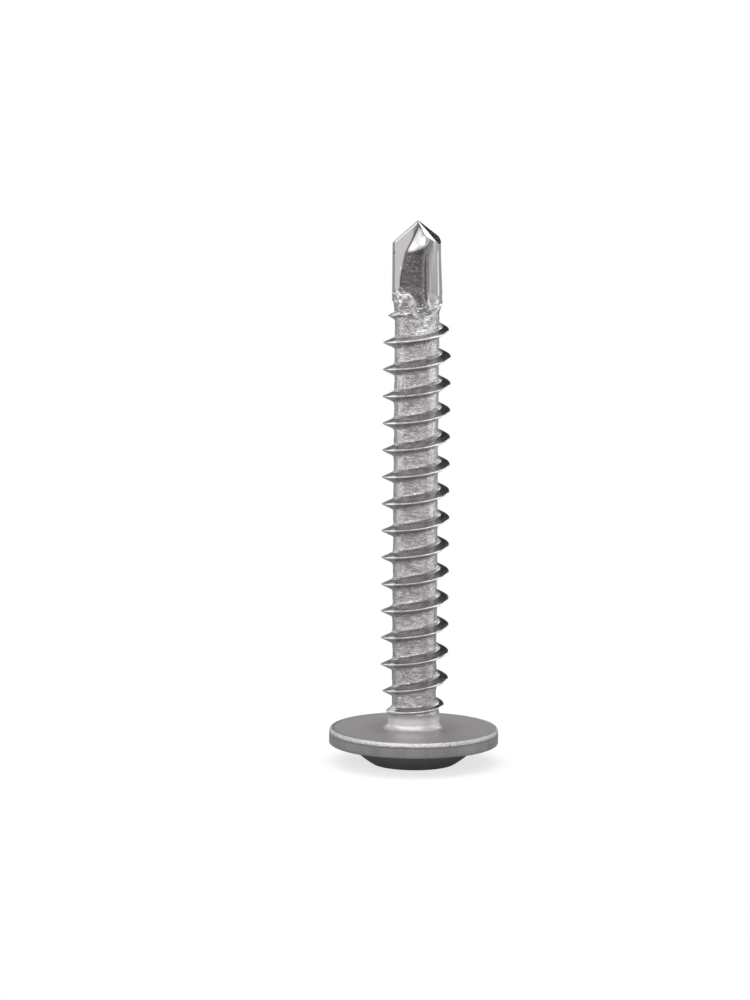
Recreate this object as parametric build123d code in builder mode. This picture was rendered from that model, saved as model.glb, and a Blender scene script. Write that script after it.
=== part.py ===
"""Self drilling screw, 4.2 mm thread, 32 mm long under a wide wafer head.

One solid: headed, pinch-pointed and thread-rolled from one wire. Millimetres. +Z runs
along the axis, from the crown of the head, on which the screw stands, to the tip.
"""
from build123d import *
from math import cos, radians, sin, tan
import os

os.makedirs("parts", exist_ok=True)

# Head
head_d = 10.6                # outside of the flange
head_h = 2.22                # crown land to underside
rim_h = 0.97                 # height of the rim band
rim_bevel = 0.15             # run of the slope between underside and rim band
rim_bevel_h = 0.28           # height of that slope
rim_lower_bevel = 0.10       # broken edge between rim band and flange cone
dome_d = 7.70                # dome of the crown, up to the turned line
dome_h = 1.02                # crown land to the turned line
dome_round = 5.10            # radius of the dome's profile
line_step = 0.04             # depth of the turned line round the dome
land_d = 5.20                # flat land in the middle of the crown

# Cross recess, size 2
recess_span = 4.90           # wing tip to wing tip at the mouth
recess_depth = 2.20          # crown land to the floor of the wings
wing_w = 1.06                # width of a wing at the mouth
wing_draft = 4.0             # lean of a wing's side walls, degrees
wing_lean = 27.0             # lean of a wing's end wall, degrees
recess_corner = 0.42         # radius between two wings
recess_bevel = 0.07          # pressed edge round the mouth
centre_angle = 120.0         # cone of the hollow between the wings, degrees
centre_d = 1.40              # mouth of that hollow, in the floor

# Shank
shank_l = 32.0               # underside of the head to the tip
neck_d = 3.20                # plain neck under the head
neck_l = 1.05                # its length
neck_fillet = 0.35           # radius where it meets the underside
neck_taper_l = 0.35          # cone between neck and core
core_d = 2.78                # core of the rolled stretch

# Rolled thread, right hand, single start
thread_d = 4.20              # over the crests
thread_pitch = 1.693
thread_angle = 46.0          # between the two flanks, degrees
crest_w = 0.08               # flat on the crest
ridge_sink = 0.12            # depth of the ridge's foot inside the core
crest_turn = 235.3           # angle about the axis at which the ridge ends
ridge_start = 0.645          # its first crest above the underside
ridge_gap = 0.35             # its last crest to the lower ends of the lands
start_d = 3.32               # over the crest where it starts
rise_l = 2.40                # length over which the crest rises
end_d = 3.48                 # over the crest where it ends
fade_l = 1.90                # length over which the crest fades

# Pinched drill point with two flutes
point_d = 3.12               # over the lands
point_l = 5.35               # tip to the lower ends of the lands
land_ramp_l = 0.70           # slope at the lower end of a land
point_turn = 23.0            # turn of the cutting lips from the X axis, degrees
lip_angle = 105.0            # between the two cutting lips, degrees
lip_relief = 29.7            # fall of the facet behind a lip, degrees
heel_turn = 49.0             # lip to heel corner, degrees
heel_fall = 0.18             # further fall of the heel facet, per mm behind the heel corner
flute_wall = 0.10            # rising wall of a flute, ahead of the axis
flute_wall_lean = 0.10       # run of that wall from its foot to the back of the land
runout_l = 1.40              # lower ends of the lands to the run-out of a flute
runout_rise = 0.03           # height of a flute's floor over the core at its run-out
back_run = 0.35              # fall of the flattened back past the heel corner
# Stations of a flute. The first number is a share of the point's length below the tip.
# The others are shares of the land radius: root of the cutting face out from the axis,
# root ahead of the lip, foot of the rising wall ahead of the lip, back of the land.
flute_stations = (
    (-0.10, 0.06, 0.02, 0.14, 0.77),
    (0.32, 0.47, 0.04, 0.35, 0.85),
    (0.54, 0.63, 0.06, 0.42, 0.86),
    (0.84, 0.70, 0.08, 0.46, 0.87),
    (0.95, 0.45, 0.64, 0.58, 0.91),
)

# Levels and radii that follow
under_z = head_h
tip_z = under_z + shank_l
lands_z = tip_z - point_l
ridge_end = shank_l - point_l - ridge_gap
head_r = head_d / 2
dome_r = dome_d / 2
land_r = land_d / 2
neck_r = neck_d / 2
core_r = core_d / 2
thread_r = thread_d / 2
point_r = point_d / 2
clear = 2.0                  # overrun of a cutter past the metal
trim_r = thread_r + 0.3      # outside of the rings that slope the ends of the crest
start_slope = rise_l / (thread_r - start_d / 2)
end_slope = fade_l / (thread_r - end_d / 2)


def cross_outline(depth, grow=0.0):
    """Face of the cross recess at a depth under the crown land."""
    span = recess_span - 2 * depth * tan(radians(wing_lean)) + 2 * grow
    width = wing_w - 2 * depth * tan(radians(wing_draft)) + 2 * grow
    with BuildSketch(Plane.XY.offset(depth)) as cross:
        Rectangle(span, width)
        Rectangle(width, span)
        fillet(cross.vertices().sort_by_distance((0, 0, depth))[:4], recess_corner)
    return cross.sketch


def flute_outline(from_tip, root_out, root_ahead, foot_ahead, back_ahead):
    """Face of the metal pressed out of one flute, at a distance below the tip.

    The cutting face runs out along -X from its root, the floor leads from the root to
    the foot of the rising wall, and the wall leads to the flattened back of the land.
    """
    reach = point_r + clear
    with BuildSketch(Plane.XY.offset(tip_z - from_tip)) as outline:
        with BuildLine():
            Polyline(
                (-reach, -root_ahead / 2),
                (-root_out, -root_ahead),
                (flute_wall - flute_wall_lean / 2, -foot_ahead),
                (flute_wall + flute_wall_lean / 2, -back_ahead),
                (reach, back_run - back_ahead),
                (reach, -reach),
                (-reach, -reach),
                close=True,
            )
        make_face()
    return outline.sketch


# Head, neck and core, turned about the axis
with BuildPart() as screw:
    with BuildSketch(Plane.XZ):
        with BuildLine():
            Line((0, 0), (land_r, 0))
            RadiusArc((land_r, 0), (dome_r, dome_h), -dome_round)
            Polyline(
                (dome_r, dome_h),
                (dome_r + line_step, dome_h + line_step),
                (head_r, under_z - rim_h),
                (head_r, under_z - rim_bevel_h),
                (head_r - rim_bevel, under_z),
                (neck_r, under_z),
                (neck_r, under_z + neck_l),
                (core_r, under_z + neck_l + neck_taper_l),
                (core_r, lands_z),
                (0, lands_z),
                (0, 0),
            )
        make_face()
        chamfer(vertices().sort_by_distance((head_r, under_z - rim_h))[0], rim_lower_bevel)
        fillet(vertices().sort_by_distance((neck_r, under_z))[0], neck_fillet)
    revolve(axis=Axis.Z)

# Ridge of the thread: a trapezium carried along a helix
ridge_l = ridge_end - ridge_start
ridge_turn = (crest_turn - 360 * ridge_l / thread_pitch) % 360
ridge_foot = crest_w / 2 + (thread_r - core_r + ridge_sink) * tan(radians(thread_angle / 2))
with BuildPart() as ridge:
    with BuildLine():
        Helix(pitch=thread_pitch, height=ridge_l, radius=core_r)
    with BuildSketch(Plane.XZ):
        with BuildLine():
            Polyline(
                (core_r - ridge_sink, -ridge_foot),
                (thread_r, -crest_w / 2),
                (thread_r, crest_w / 2),
                (core_r - ridge_sink, ridge_foot),
                close=True,
            )
        make_face()
    sweep(is_frenet=True)

# One flute, pressed between two dies: thin web at the tip, run-out in the core
with BuildPart() as flute:
    for down, *across in flute_stations:
        add(flute_outline(down * point_l, *(share * point_r for share in across)))
    floor = core_r + runout_rise
    add(flute_outline(point_l + runout_l, point_r / 4, floor, floor, floor + back_run / 2))
    loft(ruled=True)

# Cross recess with its bevelled mouth and the hollow between the wings
with BuildPart() as recess:
    add(cross_outline(0, grow=recess_bevel))
    add(cross_outline(recess_bevel))
    add(cross_outline(recess_depth))
    loft(ruled=True)
    centre_h = centre_d / 2 / tan(radians(centre_angle / 2))
    with Locations((0, 0, recess_depth + centre_h / 2)):
        Cone(centre_d / 2, 0, centre_h)

# Blank of the drill point with its four clearance facets, two behind each lip
with BuildPart() as point:
    with BuildSketch(Plane.XZ):
        with BuildLine():
            Polyline(
                (0, lands_z - land_ramp_l),
                (core_r, lands_z - land_ramp_l),
                (point_r, lands_z),
                (point_r, tip_z),
                (0, tip_z),
                close=True,
            )
        make_face()
    revolve(axis=Axis.Z)
    fall_out = 1 / tan(radians(lip_angle / 2))
    fall_back = tan(radians(lip_relief))
    heel_dir = radians(heel_turn)
    for turn in (point_turn, point_turn + 180):
        for more in (0, heel_fall):
            facing = Vector(fall_out - more * sin(heel_dir), -fall_back - more * cos(heel_dir), 1)
            facet = Plane(origin=(0, 0, tip_z), z_dir=facing.rotate(Axis.Z, turn))
            split(bisect_by=facet, keep=Keep.BOTTOM)

# Rolled thread on the core, then the point with its flutes, and the recess in the head
with screw:
    with Locations(Location((0, 0, under_z + ridge_start), (0, 0, ridge_turn))):
        add(ridge.part)
    with BuildSketch(Plane.XZ):
        with BuildLine():
            Polyline(
                (start_d / 2, under_z + ridge_start - ridge_foot - 0.01),
                (start_d / 2, under_z + ridge_start),
                (trim_r, under_z + ridge_start + start_slope * (trim_r - start_d / 2)),
                (trim_r, under_z + ridge_start - ridge_foot - 0.01),
                close=True,
            )
        make_face()
        with BuildLine():
            Polyline(
                (trim_r, under_z + ridge_end - end_slope * (trim_r - end_d / 2)),
                (end_d / 2, under_z + ridge_end),
                (end_d / 2, under_z + ridge_end + ridge_foot),
                (trim_r, under_z + ridge_end + ridge_foot),
                close=True,
            )
        make_face()
    revolve(axis=Axis.Z, mode=Mode.SUBTRACT)
    add(point.part)
    for turn in (point_turn, point_turn + 180):
        with Locations(Location((0, 0, 0), (0, 0, turn))):
            add(flute.part, mode=Mode.SUBTRACT)
    add(recess.part, mode=Mode.SUBTRACT)

screw.part.label = "screw"
export_step(screw.part, "parts/screw.step")
print(screw.part.is_valid, screw.part.volume, len(screw.part.solids()), screw.part.bounding_box())
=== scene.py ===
"""Self drilling screw with a wafer head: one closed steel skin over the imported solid, and its studio.

Lengths are millimetres until the skin is written, and heights are measured from the crown land.
"""

import itertools
import logging
import math
from dataclasses import dataclass
from typing import Any

import bpy
import numpy as np
from mathutils import Matrix, Vector


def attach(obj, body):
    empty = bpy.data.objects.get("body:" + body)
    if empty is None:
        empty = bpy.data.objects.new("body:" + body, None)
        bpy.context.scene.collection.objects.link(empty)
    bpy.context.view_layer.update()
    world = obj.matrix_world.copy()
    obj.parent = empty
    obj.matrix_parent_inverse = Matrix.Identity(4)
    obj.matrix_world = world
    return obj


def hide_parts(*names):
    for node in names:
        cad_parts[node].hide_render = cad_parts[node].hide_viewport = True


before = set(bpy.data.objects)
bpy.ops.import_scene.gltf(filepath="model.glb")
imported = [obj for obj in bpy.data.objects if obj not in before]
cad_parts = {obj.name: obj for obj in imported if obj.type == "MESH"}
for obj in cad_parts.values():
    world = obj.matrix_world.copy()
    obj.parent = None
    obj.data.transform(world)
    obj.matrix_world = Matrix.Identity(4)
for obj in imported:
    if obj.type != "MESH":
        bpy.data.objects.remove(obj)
log = logging.getLogger("screw")

# Metres in a millimetre
MM = 0.001
# Grid of the skin: columns round the axis, turn of the shank's columns, column of the left lip's corner
COLUMNS = 144
COLUMN = 2 * math.pi / COLUMNS
HALF = COLUMNS // 2
GRID_TURN = math.radians(0.5)
LIP_COLUMN = 81
# Distance that stands for a ray that never meets the metal
NEVER = 1000.0
# Attributes on the skin that the steel reads: painted shade on the flute floor and torn end, painted shade
# lines, painted highlights and painted shade on the flanks
PAINTS = ("flute_floor", "crease", "light", "shade")

Array = np.ndarray
Tree = bpy.types.NodeTree
Colour = tuple[float, float, float, float]
Direction = tuple[float, float, float]


# Shape functions

def ease(value: Array, low: float, high: float) -> Array:
    """Rise from 0 at low to 1 at high along 3t^2 - 2t^3."""
    t = np.clip((value - low) / (high - low), 0, 1)
    return t * t * (3 - 2 * t)


def between(value: Array, start: float, full: float, fade: float, end: float) -> Array:
    """Window: 0 up to start, 1 from full to fade, and 0 past end, with eased sides."""
    return ease(value, start, full) * (1 - ease(value, fade, end))


def bell(distance: Array, width: float) -> Array:
    """Bell curve exp(-(distance / width)^2)."""
    return np.exp(-(distance / width) ** 2)


def larger(a: Array, b: Array, round_off: float) -> Array:
    """Larger of two lengths with a fillet: half of sum plus root of gap squared and round_off squared."""
    return (a + b + np.sqrt((a - b) ** 2 + round_off ** 2)) / 2


def on_circle(angle: Array) -> Array:
    """Points (cos, sin) of the unit circle."""
    return np.stack((np.cos(angle), np.sin(angle)), -1)


def in_turned_frame(x: Any, y: Any, degrees: float) -> tuple[Any, Any]:
    """Components along two axes turned about the screw's: cos x + sin y, and cos y - sin x.

    Args:
        x: First component, an array or a socket.
        y: Second component.
        degrees: Turn of the new axes.

    Returns:
        The new components.
    """
    cos = math.cos(math.radians(degrees))
    sin = math.sin(math.radians(degrees))
    return cos * x + sin * y, cos * y - sin * x


def grain(points: Array, size: float, seed: int) -> Array:
    """Value noise: random numbers on a cubic lattice, blended along 3t^2 - 2t^3.

    Args:
        points: Places, the last axis of length 3.
        size: Lattice width.
        seed: Which noise.

    Returns:
        Noise between -1 and 1, one value a place.
    """
    place = points / size
    cell = np.floor(place).astype(np.int64)
    t = place - cell
    t = t * t * (3 - 2 * t)
    total = np.zeros(points.shape[:-1])
    for corner in itertools.product((0, 1), repeat=3):
        key = (cell + np.array(corner)) * np.array((73856093, 19349663, 83492791))
        key = (key[..., 0] ^ key[..., 1] ^ key[..., 2]) + seed * 668265263
        key = ((key ^ (key >> 13)) * 1274126177) & 0x7FFFFFFF
        value = ((key ^ (key >> 16)) & 0xFFFF) / 32767.5 - 1
        total += value * np.prod(np.where(np.array(corner) == 1, t, 1 - t), axis=-1)
    return total


def ray_to_line(start: tuple[Array, Array], end: tuple[Array, Array], cos: Array, sin: Array) -> Array:
    """Distance from the axis to a straight line along a ray: line's offset over ray's share of its normal.

    Args:
        start: One point of the line, with the axis on the line's left as it runs to end.
        end: Another point of the line.
        cos: Ray's first component.
        sin: Ray's second component.

    Returns:
        The distance, NEVER where the ray doesn't meet the line.
    """
    across = end[1] - start[1]
    along = start[0] - end[0]
    offset = across * start[0] + along * start[1]
    share = across * cos + along * sin
    return np.where(share * np.sign(offset) > 1e-6, offset / np.where(share == 0, 1e-9, share), NEVER)


def level_ring(outline: Array, height: float) -> Array:
    """Ring of COLUMNS places: an outline (x, y) at one height."""
    return np.column_stack((outline, np.full(COLUMNS, height)))


def ring_index(start: int, count: int) -> Array:
    """Vertex numbers of closed rings: one row a ring, with its first column repeated at the end."""
    index = start + np.arange(count * COLUMNS).reshape(count, COLUMNS)
    return np.concatenate((index, index[:, :1]), 1)


def quads(index: Array) -> Array:
    """Quads that join the rows of an index grid, facing outwards."""
    corners = (index[:-1, :-1], index[:-1, 1:], index[1:, 1:], index[1:, :-1])
    return np.stack(corners, -1).reshape(-1, 4)


# Sizes and surfaces of the screw

@dataclass
class Head:
    """Wafer head: flange, dome with a turned line, flat land and the cross recess."""

    radius: float = 5.30
    height: float = 2.22
    rim_height: float = 0.97
    rim_run: float = 0.15
    rim_fall: float = 0.28
    lower_round: float = 0.10
    lower_sink: float = 0.013
    dome_radius: float = 3.85
    dome_height: float = 1.02
    dome_arc: float = 5.10
    line_step: float = 0.04
    land_radius: float = 2.60
    span: float = 4.90
    wing: float = 1.06
    depth: float = 2.20
    wing_draft: float = 4.0
    wing_lean: float = 27.0
    corner: float = 0.42
    hollow_radius: float = 0.70
    hollow_depth: float = 0.40
    neck_radius: float = 1.60
    neck_fillet: float = 0.40

    # Columns of half a wing's end, of its side and of the fillet, in one quadrant of the recess
    quadrant = (4, 11, 6)
    # Rings of the grid: shares of the hollow, of the recess's floor and of its walls
    hollow_shares = (0.25, 0.5, 0.75, 1.0)
    floor_shares = (0.3, 0.6, 0.97, 1.0)
    wall_shares = (0.03, 0.15, 0.3, 0.45, 0.6, 0.75, 0.88, 0.97)
    # Pressed edge of the mouth: depth and widening of each ring
    mouth_steps = ((0.07, 0.0), (0.05, 0.015), (0.02, 0.045), (0.0, 0.07), (0.0, 0.09))
    # Rings outside the mouth: shares of the land, radii, heights on the rim and heights on the neck
    land_shares = (0.2, 0.4, 0.6, 0.8, 0.97, 1.0)
    cone_radii = (3.92, 4.2, 4.6, 4.95)
    band_heights = (1.5, 1.65, 1.8)
    flat_radii = (5.12, 4.98, 4.7, 4.4, 4.1, 3.8, 3.5, 3.2, 2.95, 2.7, 2.4, 2.15)
    neck_heights = (0.46, 0.54)

    def cross(self, depth: float, grow: float) -> Array:
        """Outline of the recess: in each quadrant half an end, a side, a fillet arc, a side and half an end.

        Args:
            depth: Distance below the crown land.
            grow: Widening all round.

        Returns:
            COLUMNS points (x, y).
        """
        ends, sides, bends = self.quadrant
        reach = self.span / 2 - depth * math.tan(math.radians(self.wing_lean)) + grow
        half = self.wing / 2 - depth * math.tan(math.radians(self.wing_draft)) + grow
        middle = half + self.corner
        turn = np.linspace(-math.pi / 2, -math.pi, bends + 1)
        end = np.stack((np.full(ends, reach), np.linspace(0, half, ends + 1)[:-1]), 1)
        side = np.stack((np.linspace(reach, middle, sides + 1)[:-1], np.full(sides, half)), 1)
        arc = middle + self.corner * on_circle(turn)
        back_side = np.stack((np.full(sides, half), np.linspace(middle, reach, sides + 1)[:-1]), 1)
        back_end = np.stack((np.linspace(half, 0, ends + 1)[:-1], np.full(ends, reach)), 1)
        quarter = np.concatenate((end, side, arc[:-1], back_side, back_end))
        quarters = [quarter]
        for _ in range(3):
            last = quarters[-1]
            quarters.append(np.stack((-last[:, 1], last[:, 0]), 1))
        return np.concatenate(quarters)

    def dome(self) -> Array:
        """Profile of the dome: arc through the land's edge and the turned line, with its centre inside.

        Returns:
            Rows of (radius, height).
        """
        normal = np.array((self.dome_height, -(self.dome_radius - self.land_radius)))
        chord = np.linalg.norm(normal)
        middle = np.array(((self.land_radius + self.dome_radius) / 2, self.dome_height / 2))
        centre = middle - normal / chord * math.sqrt(self.dome_arc ** 2 - chord ** 2 / 4)
        first = math.atan2(-centre[1], self.land_radius - centre[0])
        last = math.atan2(self.dome_height - centre[1], self.dome_radius - centre[0])
        turn = np.linspace(first, last, 14)
        return centre + self.dome_arc * on_circle(turn)

    def outside(self) -> Array:
        """Profile from the land over the dome, line, cone and rim to the underside and the neck's fillet.

        Returns:
            Rows of (radius, height, column turn).
        """
        rim_low = self.height - self.rim_height
        line = self.dome_radius + self.line_step
        line_height = self.dome_height + self.line_step
        cone_slope = (rim_low - line_height) / (self.radius - line)
        cone_r = np.array((line, *self.cone_radii))
        cone = np.stack((cone_r, line_height + cone_slope * (cone_r - line)), 1)
        low = np.linspace(-math.pi / 2 + 0.16, 0, 6)
        lower = np.stack((self.radius - self.lower_round * (1 - np.cos(low)),
                          rim_low + self.lower_round * (1 + np.sin(low)) - self.lower_sink), 1)
        band = np.stack((np.full(len(self.band_heights), self.radius), self.band_heights), 1)
        up = np.linspace(0, math.pi / 2, 9)
        upper = np.stack((self.radius - self.rim_run * (1 - np.cos(up)),
                          self.height - self.rim_fall * (1 - np.sin(up))), 1)
        flat = np.stack((self.flat_radii, np.full(len(self.flat_radii), self.height)), 1)
        round_turn = np.linspace(math.pi / 2, 0, 12)
        foot = self.neck_radius + self.neck_fillet
        fillet = np.stack((foot - self.neck_fillet * np.cos(round_turn),
                           self.height + self.neck_fillet * (1 - np.sin(round_turn))), 1)
        neck = np.array([(self.neck_radius, self.height + above) for above in self.neck_heights])
        crown = np.concatenate((self.dome()[1:], cone, lower, band, upper))
        foot_rows = np.concatenate((fillet, neck))
        shares = np.concatenate((np.zeros(len(crown)), np.linspace(0, 1, len(flat)), np.ones(len(foot_rows))))
        return np.column_stack((np.concatenate((crown, flat, foot_rows)), GRID_TURN * shares))

    def rows(self) -> Array:
        """Rows of the head: recess floor, walls and mouth, land, then the outside profile.

        Returns:
            Array (rows, COLUMNS, 3), without the pole in the recess's hollow.
        """
        angle = np.arange(COLUMNS) * COLUMN
        circle = on_circle(angle)
        floor = self.cross(self.depth, 0)
        inside = np.minimum(1, self.hollow_radius / np.linalg.norm(floor, axis=1))[:, None]
        mouth = self.cross(*self.mouth_steps[-1])
        made = []
        for share in self.hollow_shares:
            height = self.depth + self.hollow_depth * (1 - share)
            made.append(level_ring(circle * self.hollow_radius * share, height))
        for share in self.floor_shares:
            made.append(level_ring(floor * (inside + (1 - inside) * share), self.depth))
        for share in self.wall_shares:
            depth = self.depth * (1 - share)
            made.append(level_ring(self.cross(depth, 0), depth))
        for depth, grow in self.mouth_steps:
            made.append(level_ring(self.cross(depth, grow), depth))
        for share in self.land_shares:
            made.append(level_ring(mouth * (1 - share) + circle * self.land_radius * share, 0))
        for radius, height, turned in self.outside():
            made.append(level_ring(on_circle(angle + turned) * radius, height))
        return np.stack(made)


@dataclass
class Shank:
    """Neck, rolled core, ridge of the thread, and the lands and flutes of the drill point."""

    under: float
    neck_radius: float
    length: float = 32.0
    neck_length: float = 1.05
    taper: float = 0.35
    core_radius: float = 1.385
    pitch: float = 1.693
    turns: int = 16
    first_circle: float = 0.645
    crest_round: float = 0.11
    flank_slope: float = 2.356
    foot_round: float = 0.10
    foot_sink: float = 0.010
    land_radius: float = 1.56
    lip_turn: float = 23.0
    lip_angle: float = 105.0
    lip_relief: float = 29.7
    heel_turn: float = 54.0
    heel_fall: float = 0.18
    wall: float = 0.10
    wall_lean: float = 0.10
    back_run: float = 0.35
    overrun: float = 2.0
    flash_radius: float = 1.50
    right_taper: float = 0.07
    runout: float = 25.25
    morph_low: float = 26.35
    morph_high: float = 26.95

    # Rows of one turn of thread, as distances from its crest
    offsets = np.array((-0.845, -0.74, -0.63, -0.52, -0.43, -0.37, -0.32, -0.275, -0.22, -0.15, -0.09,
                        -0.055, -0.036, -0.015, 0.015, 0.036, 0.055, 0.09, 0.15, 0.22, 0.275, 0.32, 0.37,
                        0.43, 0.54, 0.69))
    # Radius over the crest along the thread, in turns
    crest_turns = (0.0, 0.12, 0.5, 1.0, 1.5, 2.0, 14.3, 14.6, 15.0, 15.5, 15.8, 16.5)
    crest_radii = (1.56, 1.64, 1.76, 1.88, 2.02, 2.14, 2.13, 2.11, 2.00, 1.82, 1.45, 1.30)
    # Share of the flank's slope along the first turn
    start_turns = (0.0, 0.3, 0.9)
    start_slopes = (0.5, 0.6, 1.0)
    # Flute: millimetres below the tip, then root out, root ahead, foot ahead and back ahead
    flute_down = (-0.50, 0.44, 1.39, 1.65, 1.93, 2.08, 2.78, 3.50, 4.15, 4.30, 4.62, 5.00, 6.75)
    flute_root_out = (0.01, 0.03, 0.49, 0.63, 0.785, 0.83, 1.00, 1.15, 1.19, 1.10, 0.78, 0.52, 0.39)
    flute_root_ahead = (0.09, 0.10, 0.06, 0.065, 0.07, 0.07, 0.08, 0.10, 0.12, 0.42, 0.82, 1.08, 1.42)
    flute_foot_ahead = (0.95, 1.10, 1.18, 1.14, 0.94, 0.84, 0.74, 0.74, 0.76, 0.80, 0.92, 1.10, 1.42)
    flute_back_ahead = (1.18, 1.20, 1.25, 1.28, 1.31, 1.32, 1.34, 1.35, 1.36, 1.37, 1.40, 1.45, 1.60)
    # Lower and upper ends of the ramps under the left land and under the right one
    left_ramp = (26.35, 27.35)
    right_ramp = (26.25, 26.75)
    # Columns over which the foot of a flute's wall is rounded, and heights between which that ends
    rounded_columns = (22, 27, 46, 51)
    rounded_end = (29.9, 30.6)
    # Heights over which the right side of the point draws in
    taper_heights = (26.95, 30.4)
    # Windows of the relief: start, full, fade and end, as heights above the underside
    rolled_heights = (0.7, 1.5, 26.9, 27.4)
    flute_heights = (26.5, 27.2, 29.6, 30.1)
    torn_heights = (25.2, 26.2, 27.3, 27.8)
    # Torn flash where the point's dies end: front face x and height above the underside of both
    # ends, half width and height of the flash
    flash = (
        (-1.45, 27.47, -0.70, 27.52, 0.06, 0.08),
        (-0.70, 27.52, -0.36, 27.30, 0.05, 0.07),
        (-1.26, 27.60, -0.98, 27.00, 0.07, 0.11),
        (-1.02, 26.80, -0.92, 26.66, 0.10, 0.15),
        (-0.98, 26.66, -0.64, 26.25, 0.07, 0.10),
        (-1.12, 26.31, -0.57, 26.27, 0.06, 0.09),
        (0.75, 26.97, 1.07, 25.80, 0.07, 0.12),
        (1.41, 26.80, 0.48, 25.79, 0.07, 0.13),
        (0.75, 26.86, 1.41, 26.72, 0.06, 0.09),
        (-0.22, 26.44, 0.27, 25.95, 0.06, 0.10),
        (-0.22, 26.26, 0.20, 25.80, 0.05, 0.08),
        (0.41, 25.60, 1.15, 25.42, 0.06, 0.08),
        (0.00, 25.20, 0.95, 25.32, 0.10, 0.10),
    )
    # Columns of half a section: cutting face, floor, wall, back, outer land
    shares = (16, 16, 8, 14, 18)

    @property
    def tip(self) -> float:
        """Height of the tip."""
        return self.under + self.length

    @property
    def rows_a_turn(self) -> int:
        """Rows of the grid to one turn of thread."""
        return len(self.offsets)

    @property
    def lips(self) -> tuple[float, float]:
        """Turns of the two cutting lips."""
        return self.lip_turn, self.lip_turn + 180

    def crest_over(self, turn: Array) -> Array:
        """Radius over the crest, from its table along the thread, with a rolled crest's unevenness.

        Args:
            turn: Place along the thread, in turns.

        Returns:
            The radius.
        """
        round_axis = turn * 2 * math.pi
        place = np.stack((np.cos(round_axis) * 2, np.sin(round_axis) * 2, turn * self.pitch), -1)
        uneven = 0.020 * grain(place, 0.9, 3) + 0.014 * grain(place, 0.28, 4)
        return np.interp(turn, self.crest_turns, self.crest_radii) + np.minimum(uneven, 0)

    def land(self, angle: Array, above: Array) -> Array:
        """Radius of the lands: full above their lower ends, ramping down into the core below them.

        Args:
            angle: Angle about the axis.
            above: Height above the underside.

        Returns:
            The radius.
        """
        left = ease(-np.cos(angle), -0.3, 0.6)
        low = self.left_ramp[0] * left + self.right_ramp[0] * (1 - left)
        high = self.left_ramp[1] * left + self.right_ramp[1] * (1 - left)
        share = np.clip((above - low) / (high - low), 0, 1)
        return self.core_radius + (self.land_radius - self.core_radius) * share

    def body(self, angle: Array, above: Array, turn: Array, away: Array) -> Array:
        """Radius before the flutes are pressed: neck, taper and core, or land, or ridge, whichever is larger.

        Args:
            angle: Angle about the axis.
            above: Height above the underside.
            turn: Place along the thread, in turns.
            away: Distance along the axis from the ridge's crest.

        Returns:
            The radius.
        """
        taper = (self.neck_length, self.neck_length + self.taper)
        plain = np.interp(above, taper, (self.neck_radius, self.core_radius))
        plain = np.maximum(plain, self.land(angle, above))
        slope = self.flank_slope * np.interp(turn, self.start_turns, self.start_slopes)
        fall = np.hypot(away * slope, self.crest_round) - self.crest_round
        return larger(plain, self.crest_over(turn) - fall, self.foot_round) - self.foot_sink

    def section(self, above: Array) -> tuple[Array, Array, Array, Array]:
        """Corners of a flute's outline at a height, read from the tables.

        Args:
            above: Height above the underside.

        Returns:
            Root out from the axis, then root, foot and back ahead of the lip.
        """
        down = self.length - above
        tables = (self.flute_root_out, self.flute_root_ahead, self.flute_foot_ahead, self.flute_back_ahead)
        return tuple(np.interp(down, self.flute_down, table) for table in tables)

    def pressed(self, angle: Array, above: Array) -> Array:
        """Polar distance to the flutes: nearest of the back and the farthest of face, floor and wall.

        Args:
            angle: Angle about the axis.
            above: Height above the underside.

        Returns:
            The distance.
        """
        out, root, foot, back = self.section(above)
        reach = np.full_like(out, self.land_radius + self.overrun)
        corners = (
            (-reach, -root / 2),
            (-out, -root),
            (np.full_like(out, self.wall - self.wall_lean / 2), -foot),
            (np.full_like(out, self.wall + self.wall_lean / 2), -back),
            (reach, self.back_run - back),
        )
        nearest = np.full(np.shape(angle), NEVER)
        for turned in self.lips:
            cos = np.cos(angle - math.radians(turned))
            sin = np.sin(angle - math.radians(turned))
            lines = [ray_to_line(*ends, cos, sin) for ends in itertools.pairwise(corners)]
            cut = np.minimum(np.maximum.reduce(lines[:3]), lines[3])
            nearest = np.minimum(nearest, np.where(sin >= 0, NEVER, cut))
        return np.where(above < self.runout, NEVER, nearest)

    def pinned(self, column: Array, above: Array) -> tuple[Array, Array]:
        """Section of the point with a rounded wall: mean of the cornered section over seven columns.

        Args:
            column: Column, from 0 at the left lip's corner, of any whole or broken value.
            above: Height above the underside.

        Returns:
            The points' x and y.
        """
        rounded = between(column % HALF, *self.rounded_columns) * (1 - ease(above, *self.rounded_end))
        x, y = self.cornered(column, above)
        steps = range(-3, 4)
        mean_x = np.zeros(np.shape(x))
        mean_y = np.zeros(np.shape(y))
        for step in steps:
            near_x, near_y = self.cornered(column + step * (rounded > 0), above)
            mean_x += near_x / len(steps)
            mean_y += near_y / len(steps)
        return x + (mean_x - x) * rounded, y + (mean_y - y) * rounded

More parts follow.
